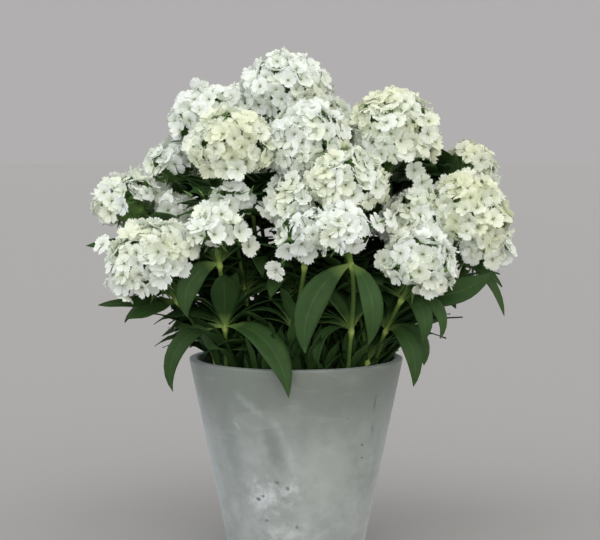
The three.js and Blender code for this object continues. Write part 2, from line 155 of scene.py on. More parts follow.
CAMERA_PLACE = (0.0035, -1.574, 0.374)
CAMERA_PITCH = 4.42
CAMERA_LENS = 106.86
camera = bpy.data.cameras.new("camera")
camera.lens = CAMERA_LENS
camera.sensor_width = 36
eye = shown(camera)
eye.location = CAMERA_PLACE
eye.rotation_euler = (radians(90 - CAMERA_PITCH), 0, 0)
scene.camera = eye


# The pot: a tapered planter of cast stone, a grey cement and stone-dust mix poured in a mould and
# rubbed down by hand. It has a plain lip, an 8 mm wall, a flat base and three drain holes.
POT_HEIGHT = 175
POT_RIM = 95
POT_BASE = 59.5
POT_WALL = 8
POT_FLOOR = 12
POT_SIDES = 160
DRAIN_RADIUS = 5
DRAIN_OUT = 30


def pot_radius(z):
    """The pot's outer radius at a height."""
    return POT_BASE + (POT_RIM - POT_BASE) * z / POT_HEIGHT


def turned(name, profile, sides, finish):
    """The mesh of a turned form, from (radius, height) pairs."""
    points, faces, rows = [], [], []
    for radius, height in profile:
        rows.append((len(points), sides if radius else 1))
        points += circle(radius, height, sides)[:sides if radius else 1]
    for (start, count), (above, count_above) in zip(rows, rows[1:]):
        for i in range(sides):
            j = (i + 1) % sides
            face = [start + i % count, start + j % count, above + j % count_above, above + i % count_above]
            faces.append(tuple(dict.fromkeys(face)))
    return form(name, points, faces, finish)


def plain(made):
    """Turns an object with modifiers into one with a plain mesh."""
    result = bpy.data.meshes.new_from_object(made.evaluated_get(bpy.context.evaluated_depsgraph_get()))
    result.name = made.name
    made.modifiers.clear()
    made.data = result


# Marks left by the mould and the rubbing, and two pale bands of painted sheen down the sides: middle, half
# sizes across, deep and high, tilt in the picture of the front, colour, strength and how ragged the edge is.
# Millimetres and degrees.
STONE_MARKS_AND_SHEEN = [
    # the first two are painted sheen: pale bluish bands down the left and right sides, where the wall is seen
    # edge on
    ((-79, -4, 92), (22, 56, 120), -11, "#c2cacf", 0.5, 1.8),
    ((77, -4, 66), (20, 56, 110), 11, "#bdc4c8", 0.45, 1.8),
    ((-58, -61, 112), (13, 34, 54), -11, "#79817c", 0.55, 0.9),
    ((26, -72, 84), (38, 40, 52), 0, "#aeb6ae", 0.45, 0.9),
    ((-38, -80, 142), (7, 30, 24), -52, "#b0b7b2", 0.35, 1.8),
    ((-14, -79, 122), (6, 30, 24), -30, "#b4bbb6", 0.35, 1.8),
    ((-3, -79, 92), (6, 30, 24), -12, "#b8bfba", 0.45, 1.8),
    ((-19, -79, 107), (11, 30, 36), -20, "#767e79", 0.65, 1.1),
    ((-26, -66, 62), (26, 34, 24), 15, "#dde2e4", 0.95, 2.6),
    ((-4, -74, 70), (13, 30, 15), 0, "#d6dcdc", 0.8, 2.8),
    ((-8, -66, 28), (42, 36, 22), 0, "#ccd2d0", 0.85, 2.8),
    ((-50, 62, 90), (34, 40, 44), 20, "#bcc3bf", 0.6, 2.2),
    ((52, 60, 120), (14, 40, 50), 30, "#8a928d", 0.5, 1.0),
    ((84, 12, 70), (30, 34, 30), 0, "#c0c6c4", 0.6, 2.2),
    ((68, -57, 142), (1.9, 8, 13), 8, "#5c625d", 0.85, 0.9),
    ((66, -53, 119), (1.5, 8, 8), 5, "#6f746f", 0.8, 0.9),
    ((57, -58, 106), (1.6, 6, 1.8), 0, "#565c57", 0.85, 0.5),
    ((57, -54, 94), (2, 6, 1.4), 0, "#5c625d", 0.85, 0.5),
    ((-32, -64, 60), (3.4, 8, 2.6), 20, "#59605e", 0.9, 0.7),
    ((-28, -66, 63), (2.2, 8, 2), 0, "#6a716f", 0.9, 0.7),
    ((-16, -73, 76), (4, 8, 2.4), 30, "#666d6b", 0.85, 0.8),
    ((-7, -73, 71), (2.6, 8, 3.4), -20, "#6e7573", 0.85, 0.8),
    ((-25, -63, 41), (3, 8, 2.2), 0, "#727976", 0.8, 0.8),
    ((1, -67, 36), (2.4, 8, 3), 0, "#747b78", 0.8, 0.8),
    ((-51, -70, 125), (3, 12, 7), -40, "#c3c9c6", 0.5, 1.8),
]
# rubbed cast stone is matt and cloudy, with a faint sheen where it is seen edge on
cast_stone, node = material("cast_stone_rubbed")
here = node("ShaderNodeTexCoord").outputs["Object"]
# cloudy patches about 60 mm across, 13 mm blotches where the mix dried unevenly, 9 mm noise for ragged
# edges, and sand grains drawn at 1.5 mm so that they show
clouds, blotches, ragged, grit = (
    node("ShaderNodeTexNoise", {"Vector": here, "Scale": scale, "Detail": detail, "Roughness": roughness})
    for scale, detail, roughness in (
        (17.0, 4.0, 0.5), (75.0, 6.0, 0.6), (110.0, 8.0, 0.76), (650.0, 4.0, 0.7)))
cloud_tone = node("ShaderNodeValToRGB", {"Fac": clouds},
                  stops=[(0.3, "#939a96"), (0.5, "#9fa5a2"), (0.72, "#acb1b0")])
blotch_tone = node("ShaderNodeValToRGB", {"Fac": blotches}, stops=[(0.32, 0.43), (0.5, 0.5), (0.7, 0.57)])
stone = node("ShaderNodeMix", {"Factor": 0.8, "A": cloud_tone, "B": blotch_tone}, data_type="RGBA",
             blend_type="OVERLAY")
# painted shade: the wall is darker for some 50 mm under the lip, where the lip and the leaves above shade it
height = node("ShaderNodeSeparateXYZ", {"Vector": here}).outputs["Z"]
wander = node("ShaderNodeMath", {0: clouds, 1: 0.05, 2: height}, operation="MULTIPLY_ADD")
painted_leaf_shade = node("ShaderNodeMapRange", {"Value": wander, "From Min": 0.11, "From Max": 0.19, "To Max": 0.85},
            interpolation_type="SMOOTHSTEP")
stone = node("ShaderNodeMix", {"Factor": painted_leaf_shade, "A": stone, "B": linear("#70776f")}, data_type="RGBA")
for middle, half_sizes, tilt_angle, colour, strength, edge in STONE_MARKS_AND_SHEEN:
    spot = node("ShaderNodeMapping", {"Vector": here, "Location": [0.001 * c for c in middle],
                "Rotation": (0, radians(tilt_angle), 0), "Scale": [0.001 * c for c in half_sizes]},
                vector_type="TEXTURE")
    ball = node("ShaderNodeTexGradient", {"Vector": spot}, gradient_type="SPHERICAL")
    rough_ball = node("ShaderNodeMath", {0: ragged, 1: edge, 2: ball.outputs["Fac"]},
                      operation="MULTIPLY_ADD")
    mask = node("ShaderNodeMapRange", {"Value": rough_ball, "From Min": 0.5 * edge + 0.1,
                "From Max": 0.85 * edge + 0.5, "To Max": strength}, interpolation_type="SMOOTHSTEP")
    inside = node("ShaderNodeMath", {0: ball.outputs["Fac"], 1: 0.0}, operation="GREATER_THAN")
    factor = node("ShaderNodeMath", {0: mask, 1: inside}, operation="MULTIPLY")
    stone = node("ShaderNodeMix", {"Factor": factor, "A": stone, "B": linear(colour)}, data_type="RGBA")
# faint sweeps of the rubbing stone: long pale arcs, stretched round the pot and tilted
swept = node("ShaderNodeMapping", {"Vector": here, "Rotation": (0.0, 0.62, 0.3),
             "Scale": (14.0, 14.0, 52.0)})
sweeps = node("ShaderNodeTexNoise", {"Vector": swept, "Scale": 1.0, "Detail": 3.0, "Distortion": 1.2})
sweep_mask = node("ShaderNodeValToRGB", {"Fac": sweeps}, stops=[(0.56, 0.0), (0.7, 0.12)])
stone = node("ShaderNodeMix", {"Factor": sweep_mask, "A": stone, "B": linear("#c3c9c5")}, data_type="RGBA")
# small dark air pits, one or two millimetres across, in loose groups
pits = node("ShaderNodeTexVoronoi", {"Vector": here, "Scale": 120.0})
pit_size = node("ShaderNodeMath", {0: blotches, 1: 0.62}, operation="SUBTRACT")
pit_edge = node("ShaderNodeMath", {0: pit_size, 1: pits}, operation="SUBTRACT")
pit_mask = node("ShaderNodeMapRange", {"Value": pit_edge, "From Min": -0.04, "From Max": 0.0, "To Max": 0.7})
stone = node("ShaderNodeMix", {"Factor": pit_mask, "A": stone, "B": linear("#555b57")}, data_type="RGBA")
relief = node("ShaderNodeMath", {0: ragged, 1: 2.0, 2: grit}, operation="MULTIPLY_ADD")
pitted = node("ShaderNodeMath", {0: relief, 1: pit_mask}, operation="SUBTRACT")
bump = node("ShaderNodeBump", {"Height": pitted, "Strength": 0.3, "Distance": 0.0006})
shader = node("ShaderNodeBsdfPrincipled", {"Base Color": stone, "Roughness": 0.5, "Specular IOR Level": 0.5,
              "Sheen Weight": 0.35, "Sheen Roughness": 0.4, "Sheen Tint": linear("#e6eef6"), "Normal": bump})
node("ShaderNodeOutputMaterial", {"Surface": shader})

# the base's edge and the lip's two edges are rubbed round by under 2 mm
pot_profile = [(0, 0), (pot_radius(0) - 1.5, 0), (pot_radius(0) - 0.4, 0.4), (pot_radius(1.5), 1.5)]
pot_profile += [(pot_radius(z), z) for z in (40, 80, 120, 150, POT_HEIGHT - 1.8)]
pot_profile += [(POT_RIM - 0.4, POT_HEIGHT - 0.5), (POT_RIM - 1.6, POT_HEIGHT), (POT_RIM - 6.4, POT_HEIGHT),
                (POT_RIM - 7.6, POT_HEIGHT - 0.5), (POT_RIM - POT_WALL - 0.2, POT_HEIGHT - 1.8)]
pot_profile += [(pot_radius(z) - POT_WALL, z) for z in (140, 80, POT_FLOOR + 2)]
pot_profile += [(pot_radius(POT_FLOOR) - POT_WALL - 2, POT_FLOOR), (0, POT_FLOOR)]
pot = shown(turned("cast_stone_pot", pot_profile, POT_SIDES, cast_stone))
cutter_mesh = bmesh.new()
for i in range(3):
    angle = (i + 0.25) * tau / 3
    middle = Vector((cos(angle), sin(angle), 0)) * 0.001 * DRAIN_OUT
    bmesh.ops.create_cone(cutter_mesh, cap_ends=True, segments=24, radius1=0.001 * DRAIN_RADIUS,
                          radius2=0.001 * DRAIN_RADIUS, depth=0.06, matrix=Matrix.Translation(middle))
drains = bpy.data.meshes.new("drain_cutter")
cutter_mesh.to_mesh(drains)
cutter_mesh.free()
drain_cutter = shown(drains)
cut = pot.modifiers.new("drains", "BOOLEAN")
cut.object = drain_cutter
cut.operation = "DIFFERENCE"
plain(pot)
bpy.data.objects.remove(drain_cutter)
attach(pot, "root")
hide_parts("pot")


# The compost: dark moist potting mix, a little mounded, with crumbs and bits of bark on top. It
# fills the pot to 25 mm below the rim.
COMPOST_TOP = 150
COMPOST_MOUND = 4
COMPOST_GAP = 0.5
COMPOST_RINGS = 36
CRUMB_SPACING = 4.8


def hash_noise(x, y, scale, seed):
    """Smooth noise from 0 to 1 on a plane, the same at every run."""
    gx, gy = x / scale, y / scale
    ix, iy = gx // 1, gy // 1
    fx, fy = gx - ix, gy - iy
    fx, fy = fx * fx * (3 - 2 * fx), fy * fy * (3 - 2 * fy)

    def corner(a, b):
        return modf(abs(sin(a * 127.1 + b * 311.7 + seed * 74.7)) * 43758.5453)[0]

    low = corner(ix, iy) * (1 - fx) + corner(ix + 1, iy) * fx
    high = corner(ix, iy + 1) * (1 - fx) + corner(ix + 1, iy + 1) * fx
    return low * (1 - fy) + high * fy


# moist peat and bark are dull and nearly black-brown
moist_compost, node = material("moist_compost")
here = node("ShaderNodeTexCoord").outputs["Object"]
# crumbs of 2 to 4 mm and finer dust
crumb = node("ShaderNodeTexVoronoi", {"Vector": here, "Scale": 300.0})
dust = node("ShaderNodeTexNoise", {"Vector": here, "Scale": 900.0, "Detail": 4.0})
soil_tone = node("ShaderNodeValToRGB", {"Fac": dust},
                 stops=[(0.3, "#1d1510"), (0.55, "#33261c"), (0.75, "#4d3b2b")])
soil_bump = node("ShaderNodeBump", {"Height": crumb, "Strength": 0.9, "Distance": 0.001})
shader = node("ShaderNodeBsdfPrincipled", {"Base Color": soil_tone, "Roughness": 0.95,
              "Specular IOR Level": 0.2, "Normal": soil_bump})
node("ShaderNodeOutputMaterial", {"Surface": shader})

compost_radius = pot_radius(COMPOST_TOP) - POT_WALL - COMPOST_GAP
compost_profile = [(0, POT_FLOOR + COMPOST_GAP),
                   (pot_radius(POT_FLOOR) - POT_WALL - 2 - COMPOST_GAP, POT_FLOOR + COMPOST_GAP),
                   (pot_radius(POT_FLOOR + 2) - POT_WALL - COMPOST_GAP, POT_FLOOR + 2),
                   (compost_radius, COMPOST_TOP - 2)]
compost_profile += [(compost_radius * (1 - k / COMPOST_RINGS), COMPOST_TOP) for k in range(1, COMPOST_RINGS)]
compost_profile += [(0, COMPOST_TOP)]
compost = shown(turned("compost_surface", compost_profile, 120, moist_compost))
for vertex in compost.data.vertices:
    if vertex.co.z > 0.001 * (COMPOST_TOP - 1):
        x, y = vertex.co.x * 1000, vertex.co.y * 1000
        share = hypot(x, y) / compost_radius
        lift = COMPOST_MOUND * (1 - share ** 4)
        lift += 2.6 * (hash_noise(x, y, 9, 1) - 0.5) + 1.6 * (hash_noise(x, y, 3.5, 2) - 0.5)
        vertex.co.z = 0.001 * (COMPOST_TOP + lift)
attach(compost, "root")
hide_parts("compost")


def growing_tree(name, inputs, output):
    """A Geometry Nodes tree with named inputs, the function that adds nodes to it, and its inputs."""
    tree = bpy.data.node_groups.new(name, "GeometryNodeTree")
    for socket, kind in inputs.items():
        tree.interface.new_socket(socket, in_out="INPUT", socket_type="NodeSocket" + kind)
    tree.interface.new_socket(output, in_out="OUTPUT", socket_type="NodeSocketGeometry")
    return tree, partial(add, tree), add(tree, "NodeGroupInput").outputs


def grown(name, tree, surface, **values):
    """What a Geometry Nodes tree grows on a surface, as a plain mesh object."""
    holder = shown(surface, name)
    growth = holder.modifiers.new("growth", "NODES")
    growth.node_group = tree
    for item in tree.interface.items_tree:
        if item.in_out == "INPUT" and item.name in values:
            growth[item.identifier] = values[item.name]
    plain(holder)
    return holder


crumbs, node, given = growing_tree("crumbs_on_compost", {"Surface": "Geometry", "Crumb": "Object",
                             "Spacing": "Float", "Finish": "Material"}, "Crumbs")
up = node("GeometryNodeInputNormal")
upward = node("ShaderNodeSeparateXYZ", {"Vector": up})
on_top = node("ShaderNodeMath", {0: upward.outputs["Z"], 1: 0.5}, operation="GREATER_THAN")
spots = node("GeometryNodeDistributePointsOnFaces", {"Mesh": given["Surface"],
             "Distance Min": given["Spacing"], "Density Max": 60000.0, "Seed": 4, "Selection": on_top},
             distribute_method="POISSON")
turn = node("FunctionNodeRandomValue", {"Max": (6.28, 6.28, 6.28), "Seed": 5}, data_type="FLOAT_VECTOR")
grow = node("FunctionNodeRandomValue", {"Min": (0.5, 0.4, 0.3), "Max": (1.6, 1.1, 0.8), "Seed": 6},
            data_type="FLOAT_VECTOR")
shape = node("GeometryNodeObjectInfo", {"Object": given["Crumb"]})
set_out = node("GeometryNodeInstanceOnPoints", {"Points": spots, "Instance": shape.outputs["Geometry"],
               "Rotation": turn, "Scale": grow})
real = node("GeometryNodeRealizeInstances", {"Geometry": set_out})
coated = node("GeometryNodeSetMaterial", {"Geometry": real, "Material": given["Finish"]})
node("NodeGroupOutput", {"Crumbs": coated})

bark = [(3.2, 0, 0), (-2.8, 0.6, 0.3), (0.3, 1.7, -0.2), (-0.2, -1.5, 0.2), (0.2, 0.1, 1.1), (0, -0.2, -1.0)]
bark_faces = [(0, 2, 4), (2, 1, 4), (1, 3, 4), (3, 0, 4), (2, 0, 5), (1, 2, 5), (3, 1, 5), (0, 3, 5)]
bark_bit = shown(form("bark_bit", bark, bark_faces))
compost_crumbs = grown("compost_crumbs", crumbs, compost.data.copy(), Crumb=bark_bit,
                       Spacing=0.001 * CRUMB_SPACING, Finish=moist_compost)
bpy.data.objects.remove(bark_bit)
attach(compost_crumbs, "root")


# The leafy stems: round green stems with swollen joints, and at each joint a pair of smooth
# lance-shaped leaves grown on it. They come up through the compost and lead to the flower heads, and
# the leaves keep the places that they have in the frame.
STEM_RADIUS = 1.8
STEM_JOINT = 2.9
STEM_CUP = 4.2
STEM_BURIED = 12
STEM_STEPS = 60
JOINT_STEP = 62
JOINT_LAST = 17
AXIL = 2
LEAF_FOLD = 14
LEAF_THICKNESS = 0.32
TIP_MATCH = 0.06
# the head that each stem leads to: its centre, radius, lean from upright and the compass way it leans,
# then where the stem leaves the compost and how far up it the lowest joint is; millimetres and degrees
HEADS = [
    ((-9, 38, 409), 40, 25, -90, (-3, 10), 32),
    ((-80, 22, 386), 33, 20, 175, (-30, 14), 32),
    ((-54, -40, 359), 39, 20, -90, (-26, -4), 32),
    ((86, -8, 373), 41, 24, -75, (26, -2), 32),
    ((10, -38, 363), 37, 50, -90, (8, -18), 32),
    ((41, -55, 328), 37, 18, -80, (64, -40), 32),
    ((-1, -56, 314), 26, 34, -100, (-14, -34), 32),
    ((7, -92, 288), 23, 32, -95, (-10, -60), 64),
    ((38, -104, 291), 23, 28, -130, (44, -56), 64),
    ((-122, -60, 263), 40, 34, -145, (-64, -22), 32),
    ((-68, -80, 291), 23, 20, -110, (-60, -40), 64),
    ((103, -82, 262), 32, 34, -50, (66, -28), 66),
    ((-149, 0, 310), 29, 28, 165, (-62, 2), 32),
    ((-109, 38, 342), 25, 10, 155, (-52, 24), 32),
    ((-106, -2, 299), 22, 50, -80, (-44, -2), 32),
    ((149, -18, 300), 40, 52, -50, (64, -2), 32),
    ((158, 38, 342), 23, 50, 15, (50, 36), 32),
    ((104, -24, 292), 32, 42, -90, (44, 2), 32),
    ((164, 67, 269), 36, 20, -5, (58, 28), 32),
    ((-54, 104, 384), 36, 30, 120, (-22, 36), 32),
    ((24, 102, 372), 35, 24, 75, (8, 34), 32),
    ((94, 94, 343), 33, 26, 50, (34, 46), 32),
    ((-138, 94, 310), 33, 36, 145, (-50, 44), 32),
    ((-46, 148, 316), 38, 42, 100, (-20, 60), 32),
    ((48, 152, 312), 40, 42, 75, (14, 60), 32),
    ((126, 138, 274), 34, 48, 48, (36, 60), 32),
    ((-110, 140, 262), 33, 46, 128, (-34, 50), 32),
    ((-55, -50, 320), 17, 20, -100, (-36, -36), 32),
]
SHOOT = ((-38, -34, 322), 0, 15, -90, (-18, -2), 32)
HEAD_RISE = 0.88
HEAD_DROP = 0.62
PIECE_GAP = 0.3


def way_of(lean, toward):
    """The way a head or shoot points."""
    tilt, way = radians(lean), radians(toward)
    return Vector((sin(tilt) * cos(way), sin(tilt) * sin(way), cos(tilt)))


# leaves placed one by one: stem, height it grows from, tip, angle it leaves its stem at, width and the
# roll of its blade to one side
PLACED_LEAVES = [
    (11, 203, (-6, -106, 154), 15, 24, 25), (11, 203, (-105, -66, 153), 14, 15, -70),
    (11, 203, (-60, -94, 256), 66, 24, 0), (11, 203, (-50, -60, 256), 82, 17, -40),
    (11, 258, (-91, -84, 219), 0, 20, -60), (9, 263, (8, -110, 191), -20, 24, -60),
    (9, 263, (60, -112, 199), -20, 18, 30), (9, 207, (20, -84, 176), 30, 18, 0),
    (8, 204, (-13, -82, 244), 80, 12, 0), (28, 232, (-15, -60, 245), 10, 13, 40),
    (12, 205, (109, -68, 176), 20, 19, 45), (12, 205, (99, -84, 160), 20, 16, 30),
    (12, 239, (106, -88, 198), 20, 15, 40), (12, 239, (122, -76, 200), 25, 12, 50),
    (12, 239, (169, -66, 256), -6, 24, 55), (16, 272, (182, -25, 214), -12, 12, 30),
    (16, 272, (179, -34, 240), -8, 11, 30), (10, 232, (-170, -52, 226), -2, 13, -40),
    (10, 232, (-144, -76, 216), -16, 16, -30), (13, 231, (-148, -42, 210), 20, 14, 0),
    (17, 320, (128, -2, 360), 66, 18, 0), (17, 320, (154, -2, 354), 60, 15, 0),
    (17, 320, (146, -10, 336), 30, 13, 0), (17, 320, (122, -8, 336), 40, 14, 0),
    (13, 286, (-167, -50, 276), -14, 15, -30), (4, 278, (84, -14, 330), 70, 22, -40),
    (4, 336, (58, -34, 350), 60, 12, 0), (5, 336, (-62, -64, 323), -5, 17, 40),
    (3, 322, (-94, -44, 322), 10, 13, -30),
]
# how a leaf may be shortened, lifted or turned, in this order, to be clear of its neighbours
BENDS = [(share, lift, turn) for share in (1, 0.78) for lift in (0, 16, -18, 32, -34)
         for turn in (0, 22, -22, 44, -44, 68, -68, 90, -90)]


def draws(seed):
    """Draws from 0 to 1 that are the same at every run."""
    state = seed
    while True:
        state = (state + 0x6D2B79F5) & 0xFFFFFFFF
        t = ((state ^ (state >> 15)) * (state | 1)) & 0xFFFFFFFF
        t ^= (t + (((t ^ (t >> 7)) * (t | 61)) & 0xFFFFFFFF)) & 0xFFFFFFFF
        yield (t ^ (t >> 14)) / 4294967296


def curve_point(curve, t):
    """The point of a stem's curve at t, from 0 to 1."""
    a, b, c, d = curve
    return a * (1 - t) ** 3 + b * 3 * t * (1 - t) ** 2 + c * 3 * t * t * (1 - t) + d * t ** 3


def stem_line(plant):
    """A stem's curve from under the compost to the seat of its head, and distances along it."""
    at, radius, lean, toward, root, _ = plant
    axis = way_of(lean, toward)
    seat = HEAD_DROP * radius + PIECE_GAP if radius else 0
    end = Vector(at) - axis * seat
    start = Vector((root[0], root[1], COMPOST_TOP + COMPOST_MOUND - STEM_BURIED))
    far = end - start
    rising = start + Vector((far.x * 0.03, far.y * 0.03, far.z * 0.45))
    arriving = end - axis * 0.3 * far.length
    curve = (start, rising, arriving, end)
    points = [curve_point(curve, i / STEM_STEPS) for i in range(STEM_STEPS + 1)]
    marks = [0.0]
    for a, b in zip(points, points[1:]):
        marks.append(marks[-1] + (b - a).length)
    return curve, marks


def stem_point(line, length):
    """The point of a stem at a length along it, and its direction there."""
    curve, marks = line
    a, b, c, d = curve
    along = min(length, marks[-1])
    k = max(1, next(i for i, mark in enumerate(marks) if mark >= along))
    t = (k - 1 + (along - marks[k - 1]) / (marks[k] - marks[k - 1])) / STEM_STEPS
    way = (b - a) * (1 - t) ** 2 + (c - b) * 2 * t * (1 - t) + (d - c) * t * t
    return curve_point(curve, t), way.normalized()


def leaf_arch(base, leaf, share):
    """A point on a leaf's midrib, and its slope there."""
    rise = radians(leaf["rise"])
    turn = radians(leaf["fall"] - leaf["rise"]) or 1e-4
    slope = rise + turn * share
    out = leaf["length"] / turn * (sin(slope) - sin(rise))
    up = -leaf["length"] / turn * (cos(slope) - cos(rise))
    way = radians(leaf["way"])
    return base + Vector((out * cos(way), out * sin(way), up)), slope


def leaf_half(leaf, share):
    """Half a leaf's width at a share of its length."""
    full = leaf["width"] / 2 * sin(pi * min(1, share) ** 1.05) ** 0.95 if 0 < share < 1 else 0
    return max(full, 0.9 * (1 - share))


def stem_leaves(number, plant, bases):
    """The leaves of a stem by its rule, before any is bent clear of a neighbour."""
    draw = draws(100 + number)
    leaves = []
    start = next(draw) * 180 if plant[1] else 35
    for joint in range(len(bases)):
        for half in (0, 180):
            if plant[1]:
                spread, sag, size = next(draw) - 0.5, next(draw) - 0.5, next(draw) - 0.5
                turn, roll = 40 * spread, 16 * spread
                leaf = dict(rise=50 - 20 * sag, fall=-38 + 40 * sag, length=76 + 20 * size,
                            width=20 + 5 * size)
                if joint == len(bases) - 1:
                    leaf = dict(rise=38, fall=-8 - 30 * sag, length=46 + 14 * size, width=10)
                if joint == 0:
                    leaf.update(rise=68, fall=5 + 40 * sag, width=15)
            else:
                turn, roll = 30 * (next(draw) - 0.5), 0
                leaf = dict(rise=55, fall=-30, length=68, width=17)
                if joint >= len(bases) - 2:
                    leaf.update(fall=-12, length=40, width=12)
            leaf.update(joint=joint, way=start + 90 * joint + half + turn, roll=roll)
            leaves.append(leaf)
    placed = []
    for stem, height, tip, rise, width, roll in PLACED_LEAVES:
        if stem != number:
            continue
        joint = min(range(len(bases)), key=lambda i: abs(bases[i].z - height))
        far = Vector(tip) - bases[joint]
        chord = atan2(far.z, hypot(far.x, far.y))
        half = chord - radians(rise)
        placed.append(dict(joint=joint, way=degrees(atan2(far.y, far.x)), rise=rise,
                           fall=degrees(chord + half), length=far.length * half / sin(half),
                           width=width, roll=roll))
    kept = {leaf["joint"] for leaf in placed}
    return placed + [leaf for leaf in leaves if leaf["joint"] not in kept]


def leaf_mesh(points, faces, marks, base, leaf, rows=13, columns=(-1, -0.66, -0.3, 0, 0.3, 0.66, 1)):
    """Adds a leaf to a mesh: a thin closed blade, folded along its midrib, with waved edges."""
    way = radians(leaf["way"])
    ahead = Vector((cos(way), sin(way), 0))
    side = Vector((-sin(way), cos(way), 0))
    roll = radians(leaf["roll"])
    first = len(points)
    wave = leaf["way"] * 0.37 + leaf["length"]
    for row in range(rows):
        share = row / (rows - 1)
        middle, slope = leaf_arch(base, leaf, min(share, 0.999))
        normal = Vector((-sin(slope) * ahead.x, -sin(slope) * ahead.y, cos(slope)))
        across = side * cos(roll) + normal * sin(roll)
        normal = normal * cos(roll) - side * sin(roll)
        half = leaf_half(leaf, share) if row < rows - 1 else 0.15
        for face in (1, -1):
            for c in columns:
                lift = abs(c) * half * tan(radians(LEAF_FOLD)) * min(1, share * 5)
                lift -= 0.35 * half * tan(radians(LEAF_FOLD)) * c * c * min(1, share * 5)
                lift += 0.6 * abs(c) ** 2 * sin(wave + share * 15 + c * 1.7) * min(1, share * 4)
                thick = face * (LEAF_THICKNESS / 2 + (0.75 if c == 0 and face < 0 else 0) * (1 - share))
                points.append(middle + across * half * c + normal * (lift + thick))
                marks.append((share, c, leaf["tone"]))
    wide = len(columns)
    for row in range(rows - 1):
        top = first + row * wide * 2
        for c in range(wide - 1):
            a, b = top + c, top + c + 1
            faces.append((a, a + 2 * wide, b + 2 * wide, b))
            faces.append((b + wide, b + 3 * wide, a + 3 * wide, a + wide))
        faces.append((top, top + wide, top + 3 * wide, top + 2 * wide))
        right = top + wide - 1
        faces.append((right, right + 2 * wide, right + 3 * wide, right + wide))
    last = first + (rows - 1) * wide * 2
    forth, back = range(wide), range(wide - 1, -1, -1)
    faces.append(tuple(last + c for c in forth) + tuple(last + wide + c for c in back))
    faces.append(tuple(first + c for c in back) + tuple(first + wide + c for c in forth))


def tube_faces(first, sides, rings, upward=True):
    """The faces round a tube made of rings of points, which follow each other up or down."""
    faces = []
    for r in range(first, first + sides * (rings - 1), sides):
        for a, b in ((r + i, r + (i + 1) % sides) for i in range(sides)):
            faces.append((a, b, b + sides, a + sides) if upward else (a, a + sides, b + sides, b))
    return faces


def stem_tube(points, faces, marks, line, places, tip_radius, sides=10):
    """Adds a round stem to a mesh, swollen at its joints."""
    length = line[1][-1]
    # a ring every 9 mm, and five over each joint
    stations = sorted(set([0, length] + [k * 9 for k in range(1, int(length / 9))]
                          + [p + d for p in places for d in (-5, -2.5, 0, 2.5, 6) if 0 < p + d < length]))
    first = len(points)
    for station in stations:
        middle, along = stem_point(line, station)
        near = min(abs(station - p) for p in places)
        radius = STEM_RADIUS + (STEM_JOINT - STEM_RADIUS) * max(0, 1 - near / 5.5)
        radius += (tip_radius - STEM_RADIUS) * max(0, 1 - (length - station) / 12)
        across = Vector((0, 1, 0)).cross(along).normalized()
        up = along.cross(across)
        for i in range(sides):
            angle = tau * i / sides
            points.append(middle + across * radius * cos(angle) + up * radius * sin(angle))
            marks.append((2 + max(0, 1 - near / 14), 0, station / length))
    faces += tube_faces(first, sides, len(stations))
    faces.append(tuple(first + i for i in reversed(range(sides))))
    faces.append(tuple(first + (len(stations) - 1) * sides + i for i in range(sides)))


# the young leaves stay behind the large ones of the front
YOUNG_FRONT = -60
YOUNG_LOWEST = 158
YOUNG_IN_A_JOINT = 15
YOUNG_TRIES = 90
NARROW_BLADE = (-1, -0.5, 0, 0.5, 1)


def clear_of_heads(point, gap):
    """Whether a point is outside every flower head by a gap."""
    return all((point - Vector(head[0])).length > head[1] + gap for head in HEADS)


def in_the_plant(point):
    """Whether a point lies in the thick of the plant, which widens upwards from the rim."""
    wide = max(80, min(150, 97 + 1.15 * (point.z - 174)))
    return point.z > YOUNG_LOWEST and point.y > YOUNG_FRONT and hypot(point.x, point.y) < wide


def young_leaves(number, bases):
    """Leaves of the short side shoots in the joints, where they have room under the heads."""
    draw = draws(700 + number)
    leaves = []
    for base in bases:
        wanted = len(leaves) + YOUNG_IN_A_JOINT
        for _ in range(YOUNG_TRIES):
            size = next(draw)
            leaf = dict(way=360 * next(draw), rise=30 + 50 * next(draw), fall=-60 + 75 * next(draw),
                        length=46 + 34 * size, width=13 + 9 * size, roll=50 * (next(draw) - 0.5),
                        tone=0.25 + 0.6 * next(draw))
            arch = [leaf_arch(base, leaf, share)[0] for share in (0.4, 0.7, 1)]
            if len(leaves) < wanted and all(in_the_plant(p) and clear_of_heads(p, 1) for p in arch):
                leaves.append((base, leaf))
    return leaves


def mark_mesh(mesh, marks, names=("part", "across", "tone")):
    """Stores numbers on a mesh's points for its material to read."""
    for k, name in enumerate(names):
        layer = mesh.attributes.new(name, "FLOAT", "POINT")
        layer.data.foreach_set("value", [mark[k] for mark in marks])


# a waxed leaf skin is smooth and dull; "part" is 0 to 1 along a leaf and 2 to 3 on a stem, 3 at a joint,
# "across" is -1 to 1 over a blade, and "tone" is a leaf's own depth of green
leaf_green, node = material("living_leaf_and_stem")
here = node("ShaderNodeTexCoord").outputs["Object"]
part, across, tone = (node("ShaderNodeAttribute", attribute_name=mark).outputs["Fac"]
                      for mark in ("part", "across", "tone"))
# old leaves low in the pot are the darkest
leaf_tone = node("ShaderNodeValToRGB", {"Fac": tone},
                 stops=[(0.0, "#263f17"), (0.45, "#2f4a22"), (0.8, "#3a562b"), (1.0, "#4a6836")])
# the blade is paler towards its base, where it clasps the stem
base_share = node("ShaderNodeValToRGB", {"Fac": part}, stops=[(0.0, 0.8), (0.22, 0.0)])
blade = node("ShaderNodeMix", {"Factor": base_share, "A": leaf_tone, "B": linear("#8ca85a")},
             data_type="RGBA")
# a pale midrib about a millimetre wide
off_middle = node("ShaderNodeMath", {0: across}, operation="ABSOLUTE")
rib = node("ShaderNodeValToRGB", {"Fac": off_middle}, stops=[(0.02, 0.16), (0.07, 0.0)])
ribbed = node("ShaderNodeMix", {"Factor": rib, "A": blade, "B": linear("#688350")}, data_type="RGBA")
